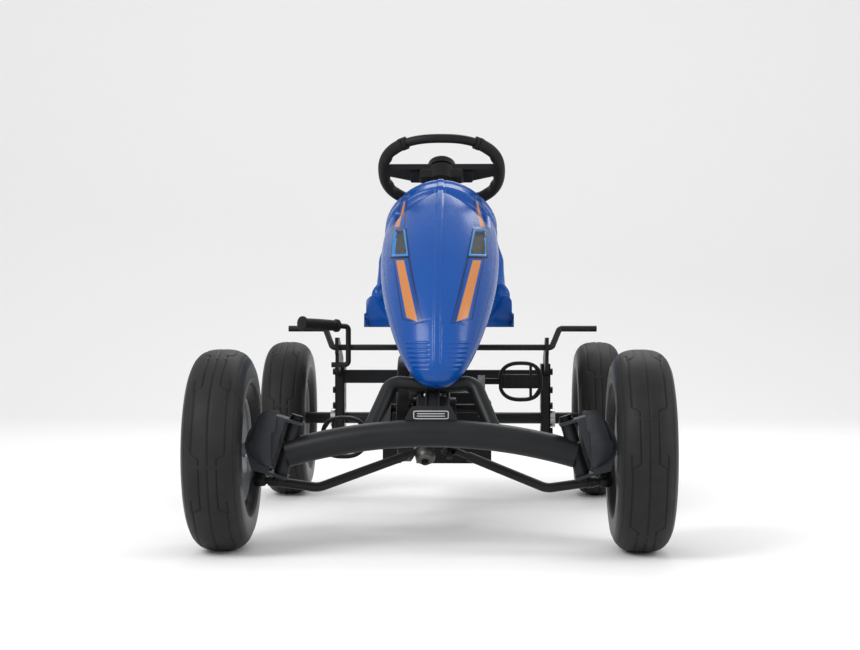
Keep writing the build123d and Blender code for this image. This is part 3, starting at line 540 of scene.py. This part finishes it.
def hood():
    """Blue hood: the surface above, pushed along its outward direction by the sum of a middle rib, a
    seam, nose ribs, creases, vents sunk in a raised frame, two scoops and a rear lip."""
    t, v, x, y, z, slope = hood_surface(230, 190)
    away = np.abs(x - COLUMN_X)
    front = np.cos(v) > -0.1
    rib = 0.0020 * np.exp(-((away / 0.0062) ** 6)) * smooth_step(0.04, 0.07, t)
    seam = -0.0012 * np.exp(-(((x - COLUMN_X - 0.0075) / 0.0011) ** 2)) * smooth_step(0.05, 0.1, t)
    band = smooth_step(0.312, 0.316, z) * (1 - smooth_step(0.362, 0.367, z))
    nose = 0.0008 * np.sin(2 * np.pi * (z - 0.3) / 0.0084) * band * smooth_step(0.012, 0.017, away)
    nose = nose * (1 - smooth_step(0.9, 1.2, np.abs(v)))
    crease = -0.0009 * np.exp(-(((z - 0.405 + 0.22 * away) / 0.0011) ** 2))
    crease = crease * smooth_step(0.010, 0.016, away)
    crease = crease * (1 - smooth_step(0.046, 0.056, away))
    edge_line = -0.0009 * np.exp(-(((np.abs(v) - 1.22) / 0.012) ** 2)) * smooth_step(0.12, 0.2, t)
    vent = trapezoid(away, z, soft=0.0012, **VENT_PATCH) * front
    bevel = trapezoid(away, z, 0.519, 0.575, (0.0555, 0.0645), (0.0910, 0.0900), 0.0022) * front
    fan = np.clip(np.abs(v), 0, 1)
    scoop = smooth_step(0.925 - 0.115 * fan, 0.935 - 0.095 * fan, t) * (1 - smooth_step(0.925, 0.945, t))
    scoop = scoop * smooth_step(0.06, 0.13, np.abs(v)) * (1 - smooth_step(0.98, 1.15, np.abs(v)))
    lip = 0.0035 * smooth_step(0.93, 0.945, t) + 0.003 * smooth_step(0.985, 1.0, t)
    lines = rib + seam + nose + crease + edge_line
    push = lines + 0.0016 * bevel - 0.0058 * vent - 0.011 * scoop + lip
    out_x = np.sin(v)
    out_y = -slope[:, 1:] * np.cos(v)
    out_z = slope[:, :1] * np.cos(v)
    points = np.stack([x + push * out_x, y + push * out_y, z + push * out_z], axis=-1)
    rows, columns = x.shape
    faces = grid_faces(rows, columns)
    obj = make_mesh("hood_skin", points.reshape(-1, 3), faces, HOOD_PAINT, "frame")
    obj.data.materials.append(VENT)
    quad_vent = vent[:-1, :-1].ravel() > 0.55
    obj.data.polygons.foreach_set("material_index", quad_vent.astype(np.int32))
    shell = obj.modifiers.new("wall", "SOLIDIFY")
    shell.thickness = HOOD_WALL
    shell.offset = -1
    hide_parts("hood")


# ------------------------------------------------------------------ seat
SEAT_LINE = np.array([(556.0, 404.0), (770.0, 372.0), (788.0, 408.0), (832.0, 660.0)]) * MM
SEAT_BOTTOM = 0.386
SEAT_WIDTH_AT = ((0, 0.152), (0.42, 0.151), (0.60, 0.140), (0.76, 0.138), (0.88, 0.124),
                 (0.96, 0.102), (1, 0.070))
BOLSTER_AT = ((0, 0.048), (0.3, 0.054), (0.55, 0.074), (0.8, 0.058), (1, 0.022))
SEAT_EDGE_ROLL = 0.015
SEAT_WALL = 0.004


def eased(stations, t):
    """Cosine-eased value between (t, value) stations."""
    spots, values = np.array(stations).T
    index = np.clip(np.searchsorted(spots, t, side="right") - 1, 0, len(spots) - 2)
    share = (t - spots[index]) / (spots[index + 1] - spots[index])
    share = (1 - np.cos(np.pi * np.clip(share, 0, 1))) / 2
    return values[index] * (1 - share) + values[index + 1] * share


def seat():
    """Bucket seat.  A cubic Bezier side line is carried across; each cross section is a flat middle, a
    bolster that rises as h * s^2(3 - 2s), rolls over a quarter circle and drops as an outer wall.  In
    front the whole section shrinks down to one straight lower edge."""
    apron_rows, rows, half = 26, 150, 96
    t = np.linspace(0, 1, rows)[:, None]
    a, b, c, d = SEAT_LINE
    line = a * (1 - t) ** 3 + 3 * b * t * (1 - t) ** 2 + 3 * c * t * t * (1 - t) + d * t ** 3
    slope = np.gradient(line, axis=0)
    slope /= np.linalg.norm(slope, axis=1)[:, None]
    width, height = eased(SEAT_WIDTH_AT, t), eased(BOLSTER_AT, t)
    wall = np.where(t < 0.5, line[:, 1:] - SEAT_BOTTOM, 0.020) + height - SEAT_EDGE_ROLL
    wall = wall * (1 - 0.55 * smooth_step(0.40, 0.55, t))
    grow = np.sin(np.linspace(0, np.pi / 2, apron_rows))[:-1, None]
    ones = np.ones_like(grow)
    front = np.concatenate([a[0] * ones - 0.006 * np.sin(np.pi * grow) + 0.004 * (1 - grow),
                            SEAT_BOTTOM + (a[1] - SEAT_BOTTOM) * grow], axis=1)
    line = np.concatenate([front, line])
    slope = np.concatenate([slope[:1] * ones, slope])
    scale = np.concatenate([grow, np.ones_like(t)])
    width = np.concatenate([width[0] * ones, width])
    height = np.concatenate([height[0] * ones, height]) * scale
    wall = np.concatenate([wall[0] * ones, wall]) * scale
    along = np.concatenate([-0.01 * ones, t])
    u = np.linspace(0, 1, half)[None, :]
    rise = smooth_step(0.42, 0.78, u)
    turn = np.clip((u - 0.78) / 0.13, 0, 1) * np.pi / 2
    drop = np.clip((u - 0.91) / 0.09, 0, 1)
    flat, bolster = np.clip(u / 0.42, 0, 1), np.clip((u - 0.42) / 0.36, 0, 1)
    x = width * (0.60 * flat + 0.30 * bolster + 0.10 * np.sin(turn))
    lift = height * rise - SEAT_EDGE_ROLL * scale * (1 - np.cos(turn)) - wall * drop
    channel = np.exp(-(((x - 0.050) / 0.0032) ** 2)) * smooth_step(0.06, 0.12, along)
    lift = lift - 0.0016 * channel * (1 - smooth_step(0.86, 0.93, along))
    y = FRONT_Y + line[:, :1] - slope[:, 1:] * lift
    z = line[:, 1:] + slope[:, :1] * lift
    both = [np.concatenate([sign * value[:, :0:-1], value], axis=1)
            for value, sign in ((x, -1), (y, 1), (z, 1))]
    points = np.stack(both, axis=-1)
    faces = grid_faces(points.shape[0], points.shape[1])
    obj = make_mesh("seat_bucket", points.reshape(-1, 3), faces, BLUE, "seat")
    shell = obj.modifiers.new("wall", "SOLIDIFY")
    shell.thickness = SEAT_WALL
    shell.offset = -1
    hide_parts("seat_shell")


# ------------------------------------------------------------------ steering wheel grips and small trim
RIM_HALF_WIDTH = 0.116
RIM_HALF_DEPTH = 0.099
RIM_SQUARENESS = 2.4
GRIP_HALF_TURN = 54


def rim_point(turn):
    """Point of the wheel's squarish rim line: a superellipse in the wheel's plane, flatter than wide."""
    n = RIM_SQUARENESS
    span = (np.abs(np.cos(turn)) ** n + np.abs(np.sin(turn)) ** n) ** (-1 / n)
    aside = (RIM_HALF_WIDTH * span * np.cos(turn))[:, None] * np.array([1.0, 0, 0])
    return WHEEL_AT + aside + (RIM_HALF_DEPTH * span * np.sin(turn))[:, None] * COLUMN_BACK


def wheel_grips():
    """Grip sleeves along the rim line: r = r0 + a thicker band at each end - dr sin^2 of five finger
    hollows, which fade out round the tube away from its inner side."""
    for side, name in ((1, "left"), (-1, "right")):
        share = np.linspace(0, 1, 150)
        turn = np.radians(GRIP_HALF_TURN * (2 * share - 1))
        if side < 0:
            turn = np.pi - turn
        line = rim_point(turn)
        tangent = np.gradient(line, axis=0)
        tangent /= np.linalg.norm(tangent, axis=1)[:, None]
        inward = WHEEL_AT - line
        inward /= np.linalg.norm(inward, axis=1)[:, None]
        upward = np.cross(tangent, inward)
        angle = np.linspace(0, 2 * np.pi, 40, endpoint=False)[None, :]
        hollow = np.sin(np.clip((share - 0.12) / 0.76, 0, 1) * 5 * np.pi)[:, None] ** 2
        hollow = hollow * np.exp(-(((angle - np.pi * (angle > np.pi) * 2) / 0.75) ** 2))
        end = np.minimum(share, 1 - share)[:, None]
        radius = 0.0120 + 0.0012 * (1 - smooth_step(0.03, 0.05, end)) - 0.0034 * hollow
        radius = radius * smooth_step(-0.002, 0.004, end)
        ring = np.cos(angle)[..., None] * inward[:, None] + np.sin(angle)[..., None] * upward[:, None]
        points = line[:, None] + radius[..., None] * ring
        faces = grid_faces(len(share), angle.shape[1], False, True, side < 0)
        grip = make_mesh("grip_sleeve_" + name, points.reshape(-1, 3), faces, BLACK_SOFT, "steering")
    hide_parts("wheel_grips")


def ball_boots():
    """Ribbed rubber boots round the ball studs: r = r0 + dr |sin| along the stud."""
    for name in ("left", "right"):
        at = np.array(joints["tie_rod_%s_pivot" % name]["pos_m"])
        rise = np.linspace(0.0085, 0.0185, 41)
        ribs = 0.0085 + 0.0024 * np.abs(np.sin((rise - 0.0085) / 0.010 * 3 * np.pi))
        profile = [(0.0085, 0.0045)] + list(zip(rise, ribs)) + [(0.0185, 0.0045)]
        lathe("ball_boot_" + name, at, (0, 0, 1), profile, BLACK_SOFT, "knuckle_" + name, 40)


def brake_grip():
    """Rubber grip turned about the line through the CAD grip: r = r0 + fine ribs + a flange at the lever
    end + a flare at the free end."""
    low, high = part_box("brake_grip")
    start = np.array([high[0] - 0.0115, high[1] - 0.011, 0.388])
    end = np.array([low[0] + 0.0085, low[1] + 0.0085, 0.3935])
    axis = end - start
    length = np.linalg.norm(axis)
    s = np.linspace(0, 1, 120)
    ribbed = smooth_step(0.14, 0.18, s) * (1 - smooth_step(0.84, 0.88, s))
    body = 0.0116 + 0.0003 * np.sin(s * 2 * np.pi * 18) * ribbed + 0.0008 * np.sin(np.pi * s)
    body = body + 0.0028 * (1 - smooth_step(0.045, 0.065, s)) + 0.0042 * smooth_step(0.90, 0.93, s)
    body = body * np.sqrt(np.clip((1 - s) / 0.02, 0.02, 1))
    profile = [(0.0, 0.0062)] + list(zip(s * length, body)) + [(length, 0.0)]
    obj = lathe("brake_grip_sleeve", start, axis, profile, BLACK_SOFT, "brake", 48)
    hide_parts("brake_grip")


def rounded_block(name, centre, half, axes, material, body, power=0.22, rows=36):
    """Block with rounded edges, a superquadric: each coordinate is half * sign * |cos or sin| ^ power of
    a height angle and a turn angle."""
    high = np.linspace(-np.pi / 2, np.pi / 2, rows)[:, None]
    turn = np.linspace(-np.pi, np.pi, 2 * rows, endpoint=False)[None, :]

    def swell(value):
        return np.sign(value) * np.abs(value) ** power

    x = half[0] * swell(np.cos(high)) * swell(np.cos(turn))
    y = half[1] * swell(np.cos(high)) * swell(np.sin(turn))
    z = half[2] * swell(np.sin(high)) + 0 * turn
    local = np.stack([x, y, z], axis=-1).reshape(-1, 3)
    points = np.array(centre) + local @ np.array(axes, dtype=float)
    faces = grid_faces(rows, 2 * rows, False, True)
    return make_mesh(name, points, faces, material, body)


WORLD_AXES = ((1, 0, 0), (0, 1, 0), (0, 0, 1))


def band_loop(name, line, half_wide, half_deep, depth_axis, material, body):
    """Flat bar bent into a closed loop: its rectangular section, with slightly rounded corners, is
    carried round the loop, wide across the loop's outward direction and deep along one axis."""
    line = np.asarray(line, dtype=float)
    tangent = np.roll(line, -1, axis=0) - np.roll(line, 1, axis=0)
    tangent /= np.linalg.norm(tangent, axis=1)[:, None]
    depth = np.array(depth_axis, dtype=float)
    outward = np.cross(tangent, depth)
    angle = np.linspace(0, 2 * np.pi, 24, endpoint=False)
    across = half_wide * np.sign(np.cos(angle)) * np.abs(np.cos(angle)) ** 0.25
    deep = half_deep * np.sign(np.sin(angle)) * np.abs(np.sin(angle)) ** 0.25
    points = line[:, None] + across[None, :, None] * outward[:, None] + deep[None, :, None] * depth
    faces = grid_faces(len(line), len(angle), True, True, True)
    return make_mesh(name, points.reshape(-1, 3), faces, material, body)


def pedals():
    """Cage pedals: a cage, a middle block with two rows of studs, a cross bar and two braces.  The cage
    line is x = w cos(a) s, z = h sin(a) s with the superellipse span s(a), drawn in a little towards
    the crank and cut straight there."""
    for name, side in (("left", 1), ("right", -1)):
        low, high = (np.array(corner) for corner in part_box("pedal_" + name))
        at, half = (low + high) / 2, (high - low) / 2
        turn = np.linspace(0, 2 * np.pi, 160, endpoint=False)
        span = (np.abs(np.cos(turn)) ** 3.0 + np.abs(np.sin(turn)) ** 2.6) ** (-1 / 2.8)
        out = np.cos(turn) * span
        squeeze = 1 - 0.10 * np.clip(-out, 0, 1) ** 2
        edge = 0.0036
        x = at[0] + side * (half[0] - edge) * np.clip(out, -0.97, 1.02) * 0.985
        z = at[2] + (half[2] - edge) * np.sin(turn) * span * squeeze * 0.97
        cage = np.stack([x, np.full_like(x, at[1]), z], axis=1)
        body = "pedal_" + name
        made = band_loop("pedal_cage_" + name, cage[::side], edge, half[1], (0, 1, 0), BLACK, body)
        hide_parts("pedal_" + name)
        rounded_block("pedal_block_" + name, at, (half[0] - 0.005, half[1] * 0.96, 0.0135), WORLD_AXES,
                      BLACK, body, 0.16)
        bar_x = at[0] + side * 0.020
        rounded_block("pedal_bar_" + name, (bar_x, at[1], at[2]), (0.0026, half[1] * 0.8, half[2] - 0.005),
                      WORLD_AXES, BLACK, body)
        for lift in (-1, 1):
            slant = np.array([[side * 0.55, 0, -lift * 0.83], [0, 1, 0], [side * 0.83, 0, lift * 0.55]])
            spot = (at[0] + side * 0.031, at[1], at[2] + lift * 0.0225)
            rounded_block("pedal_brace_%s_%s" % ("low" if lift < 0 else "high", name), spot,
                          (0.012, half[1] * 0.6, 0.0018), slant, BLACK, body)
        for row in range(2):
            for step in range(6):
                spot = (at[0] - 0.033 + 0.0132 * step, at[1] - half[1] * 0.98,
                        at[2] - 0.007 + 0.014 * row)
                rounded_block("pedal_stud_%s_%d%d" % (name, row, step), spot, (0.0024, 0.0014, 0.0024),
                              WORLD_AXES, BLACK, body, 0.5, 8)


def knuckle_plates():
    """Folded outer plate of each steering knuckle: between an inner and an outer edge given by height,
    it stands furthest forward at the fold and slopes back above and below it."""
    inner = ((0.149, 0.276), (0.180, 0.275), (0.206, 0.274), (0.211, 0.268), (0.226, 0.266),
             (0.238, 0.266), (0.2405, 0.259), (0.246, 0.262))
    outer = ((0.149, 0.289), (0.154, 0.298), (0.167, 0.308), (0.180, 0.3135), (0.191, 0.3135),
             (0.197, 0.308), (0.215, 0.303), (0.231, 0.297), (0.241, 0.291), (0.246, 0.284))
    fold, reach, rounding = 0.186, 0.011, 0.0016
    rows, columns = 120, 30
    z = np.linspace(0.149, 0.246, rows)[:, None]
    left = np.interp(z, *np.array(inner).T)
    right = np.interp(z, *np.array(outer).T)
    share = np.linspace(0, 1, columns)[None, :]
    x = left + (right - left) * share
    above = np.clip((z - fold) / 0.060, 0, 1)
    below = np.clip((fold - z) / 0.037, 0, 1)
    crease = reach * (1 - np.sqrt(np.where(z >= fold, above, below) ** 2 + rounding))
    y = FRONT_Y - 0.0285 - crease - 0.003 * np.sin(np.pi * share)
    for name, side in (("left", 1), ("right", -1)):
        points = np.stack([side * x, y + 0 * x, z + 0 * x], axis=-1).reshape(-1, 3)
        faces = grid_faces(rows, columns, flip=side < 0)
        plate = make_mesh("knuckle_plate_" + name, points, faces, COAT_LIGHT, "knuckle_" + name)
        wall = plate.modifiers.new("wall", "SOLIDIFY")
        wall.thickness = 0.003
        wall.offset = -1


def rod_ends():
    """Ball housings at the outer ends of the tie rods, rings on each rod and a cast cap with its bolt
    below the drop arm: all turned profiles."""
    for name in ("left", "right"):
        at = np.array(joints["tie_rod_%s_pivot" % name]["pos_m"])
        lift = np.linspace(-0.0115, 0.0095, 40)
        ball = np.sqrt(np.maximum(0.0138 ** 2 - (lift + 0.001) ** 2, 0))
        profile = [(-0.0115, 0.0)] + list(zip(lift, np.maximum(ball, 0.0072)))
        profile = profile + [(0.0095, 0.0069), (0.006, 0.0069), (-0.0015, 0.0)]
        lathe("rod_ball_" + name, at, (0, 0, 1), profile, BLACK, "tie_rod_" + name, 48)
        side = 1 if name == "left" else -1
        neck = np.array([side * 0.284, FRONT_Y + 0.063, 0.114])
        low = np.array([side * 0.204, FRONT_Y + 0.076, 0.101])
        for step, reach in enumerate((0.0105, 0.0098)):
            spot = neck + (low - neck) * (0.02 + 0.09 * step)
            ring = [(-0.0022, 0.0083), (-0.0018, reach), (0.0018, reach), (0.0022, 0.0083)]
            lathe("rod_ring_%s_%d" % (name, step), spot, low - neck, ring, COAT, "tie_rod_" + name,
                  40)
    pin = WHEEL_AT - COLUMN_UP * 0.629 + COLUMN_BACK * 0.050 + np.array([-0.022, 0, 0])
    bell = [(0.0, 0.017), (0.010, 0.0185), (0.017, 0.017), (0.0205, 0.0125), (0.0212, 0.0),
            (0.004, 0.0), (0.003, 0.0150)]
    lathe("rod_bell", pin, -COLUMN_UP, bell, CAST, "steering", 56)
    bolt = [(0.018, 0.0), (0.018, 0.0068), (0.0255, 0.0064), (0.0262, 0.0)]
    lathe("rod_bell_bolt", pin, -COLUMN_UP, bolt, DARK_STEEL, "steering", 6)


def badge():
    """Plain pale frame with two bars on the plate above the beam; the frame's line is a superellipse."""
    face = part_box("badge_plate")[0][1] - 0.0004
    middle_z = 0.2362
    turn = np.linspace(0, 2 * np.pi, 120, endpoint=False)
    span = (np.abs(np.cos(turn)) ** 12 + np.abs(np.sin(turn)) ** 12) ** (-1 / 12)
    x = 0.030 * span * np.cos(turn)
    z = middle_z + 0.0066 * span * np.sin(turn)
    line = np.stack([x, np.full_like(turn, face), z], axis=1)
    band_loop("badge_frame", line[::-1], 0.0009, 0.0007, (0, 1, 0), PALE, "front_axle")
    for step in (-1, 1):
        rounded_block("badge_bar_%s" % ("low" if step < 0 else "high"),
                      (0, face, middle_z + 0.0021 * step),
                      (0.0245, 0.0006, 0.0009), WORLD_AXES, PALE, "front_axle")


def wheel_trim():
    """Clamp block under the steering wheel, a raised panel on each spoke and a collar at each end of both
    grips."""
    axes = ((1, 0, 0), tuple(COLUMN_BACK), tuple(COLUMN_UP))
    under = WHEEL_AT - COLUMN_UP * 0.021
    rounded_block("wheel_clamp", under - COLUMN_BACK * 0.010, (0.044, 0.0115, 0.011), axes, BLACK,
                  "steering")
    for side in (-1, 1):
        spot = WHEEL_AT + np.array([side * 0.047, 0, 0]) - COLUMN_UP * 0.0092 + COLUMN_BACK * 0.004
        rounded_block("spoke_rib_%s" % ("left" if side > 0 else "right"), spot,
                      (0.016, 0.0165, 0.0032), axes, BLACK, "steering")
        for end in (-55, 55):
            turn = np.radians(end if side > 0 else 180 - end)
            near = rim_point(np.array([turn - 0.01, turn, turn + 0.01]))
            collar = [(-0.0035, 0.0088), (-0.003, 0.0128), (0.003, 0.0128), (0.0035, 0.0088)]
            lathe("grip_collar_%s_%s" % ("left" if side > 0 else "right", "front" if end < 0 else "rear"),
                  near[1], near[2] - near[0], collar, BLACK_SOFT, "steering", 40)


# ------------------------------------------------------------------ room, light and camera
def stage():
    """Plain pale floor that curves up behind into a wall."""
    s = np.linspace(0, 1, 60)
    far, radius, top = 3.2, 1.6, 5.0
    bend = np.clip((s - 0.45) / 0.25, 0, 1) * np.pi / 2
    y = np.where(s < 0.45, -6 + (far + 6) * s / 0.45, far + radius * np.sin(bend))
    z = np.where(s < 0.45, 0, radius * (1 - np.cos(bend)))
    z = np.where(s > 0.70, radius + (top - radius) * (s - 0.70) / 0.30, z)
    x = np.linspace(-8, 8, 3)
    points = np.stack(np.broadcast_arrays(x[None, :], y[:, None], z[:, None]), axis=-1).reshape(-1, 3)
    mesh = bpy.data.meshes.new("floor")
    mesh.from_pydata(points.tolist(), [], grid_faces(60, 3, flip=True).tolist())
    mesh.polygons.foreach_set("use_smooth", np.full(len(mesh.polygons), True))
    floor = bpy.data.objects.new("floor", mesh)
    bpy.context.scene.collection.objects.link(floor)
    n = Nodes("floor_paint", (0.90, 0.90, 0.90), 0.9, specular=0.05)
    floor.data.materials.append(n.material)


def lamp(name, place, aim, size, power):
    """Soft rectangular light pointing at a spot."""
    data = bpy.data.lights.new(name, "AREA")
    data.shape = "RECTANGLE"
    data.size, data.size_y = size
    data.energy = power
    obj = bpy.data.objects.new(name, data)
    obj.location = place
    towards = (np.array(aim) - np.array(place)).tolist()
    obj.rotation_euler = Vector(towards).to_track_quat("-Z", "Y").to_euler()
    bpy.context.scene.collection.objects.link(obj)


def lights():
    """Pale room light, a large key lamp, a weaker one from the other side and one from behind."""
    world = bpy.data.worlds.new("room")
    world.use_nodes = True
    world.node_tree.nodes["Background"].inputs[0].default_value = (1, 1, 1, 1)
    world.node_tree.nodes["Background"].inputs[1].default_value = 0.78
    bpy.context.scene.world = world
    lamp("key", (-1.9, -2.4, 2.4), (0, -0.2, 0.4), (1.5, 1.7), 62)
    lamp("fill", (2.6, -1.2, 1.7), (0, 0, 0.35), (0.9, 1.8), 22)
    lamp("rear", (0.4, 2.2, 2.8), (0, 0, 0.4), (2.6, 1.2), 34)


def camera():
    """Low, nearly level view from the front."""
    data = bpy.data.cameras.new("camera")
    data.sensor_width = 36
    data.lens = 67.6
    data.clip_end = 60
    obj = bpy.data.objects.new("camera", data)
    obj.location = (0.0824, FRONT_Y - 2.806, 0.40195)
    obj.rotation_euler = (math.radians(90 - 0.197), 0, math.radians(1.72))
    bpy.context.scene.collection.objects.link(obj)
    bpy.context.scene.camera = obj


camera()
finish_cad_nodes()
wheels()
hood()
seat()
wheel_grips()
ball_boots()
brake_grip()
pedals()
knuckle_plates()
rod_ends()
badge()
wheel_trim()
stage()
lights()
bpy.context.scene.view_settings.view_transform = "Standard"
